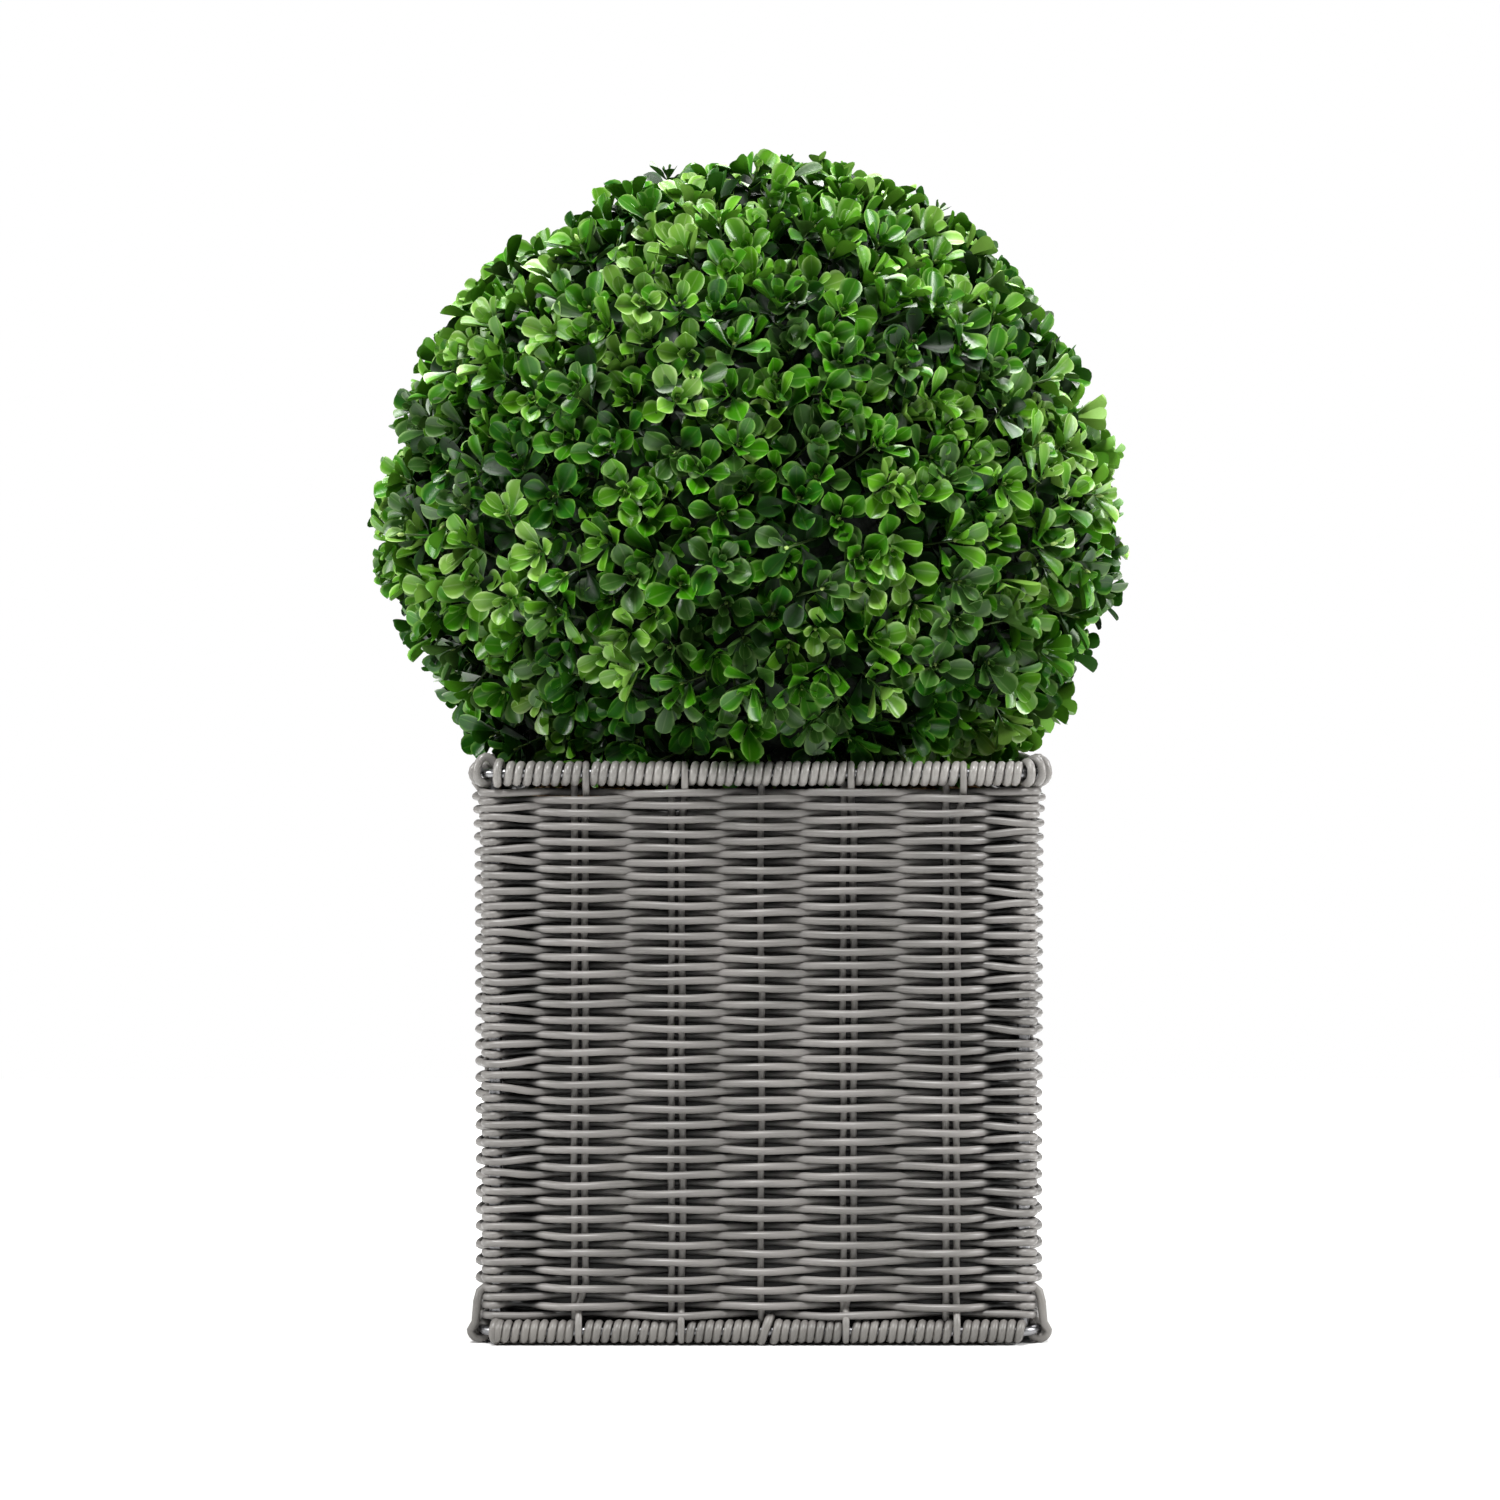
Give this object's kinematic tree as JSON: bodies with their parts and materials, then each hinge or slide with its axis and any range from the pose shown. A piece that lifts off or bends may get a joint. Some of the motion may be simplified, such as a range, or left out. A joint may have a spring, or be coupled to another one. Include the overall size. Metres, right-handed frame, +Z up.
{
  "type": "artificial box topiary ball in a planter",
  "caption": "Artificial box topiary: a clipped ball of plastic leaves on a short hidden stem, in a cube planter of woven grey rattan over a steel frame and liner.",
  "frame": {"origin": "middle of the planter's flat underside, on the ground", "axes": "+Z up through the stem and the ball, +X to the right and +Y to the back along the planter's sides, so the front side faces -Y"},
  "size_m": [0.3935, 0.3952, 0.6026],
  "materials": {
    "leaves": "moulded plastic leaves, semi-gloss, in several greens with paler edges",
    "rattan": "extruded round synthetic rattan strand, warm grey, soft satin",
    "steel": "plain steel rod, dull grey",
    "liner_plastic": "black moulded plastic",
    "coir": "loose brown plant fibre",
    "stem_wood": "rough brown stem"
  },
  "bodies": {
    "root": {"steel_frame": "steel", "rim_winding_bottom_front": "rattan", "rim_winding_top_front": "rattan", "rim_winding_bottom_right": "rattan", "rim_winding_top_right": "rattan", "rim_winding_bottom_back": "rattan", "rim_winding_top_back": "rattan", "rim_winding_bottom_left": "rattan", "rim_winding_top_left": "rattan", "stake_front_1": "rattan", "stake_front_2": "rattan", "stake_front_3": "rattan", "stake_front_4": "rattan", "stake_front_5": "rattan", "stake_right_1": "rattan", "stake_right_2": "rattan", "stake_right_3": "rattan", "stake_right_4": "rattan", "stake_right_5": "rattan", "stake_back_1": "rattan", "stake_back_2": "rattan", "stake_back_3": "rattan", "stake_back_4": "rattan", "stake_back_5": "rattan", "stake_left_1": "rattan", "stake_left_2": "rattan", "stake_left_3": "rattan", "stake_left_4": "rattan", "stake_left_5": "rattan", "course_01": "rattan", "course_02": "rattan", "course_03": "rattan", "course_04": "rattan", "course_05": "rattan", "course_06": "rattan", "course_07": "rattan", "course_08": "rattan", "course_09": "rattan", "course_10": "rattan", "course_11": "rattan", "course_12": "rattan", "course_13": "rattan", "course_14": "rattan", "course_15": "rattan", "course_16": "rattan", "course_17": "rattan", "course_18": "rattan", "course_19": "rattan", "course_20": "rattan", "course_21": "rattan", "course_22": "rattan", "course_23": "rattan", "course_24": "rattan", "liner": "liner_plastic", "stem": "stem_wood", "filling": "coir", "leaf_ball": "leaves"}
  },
  "joints": []
}
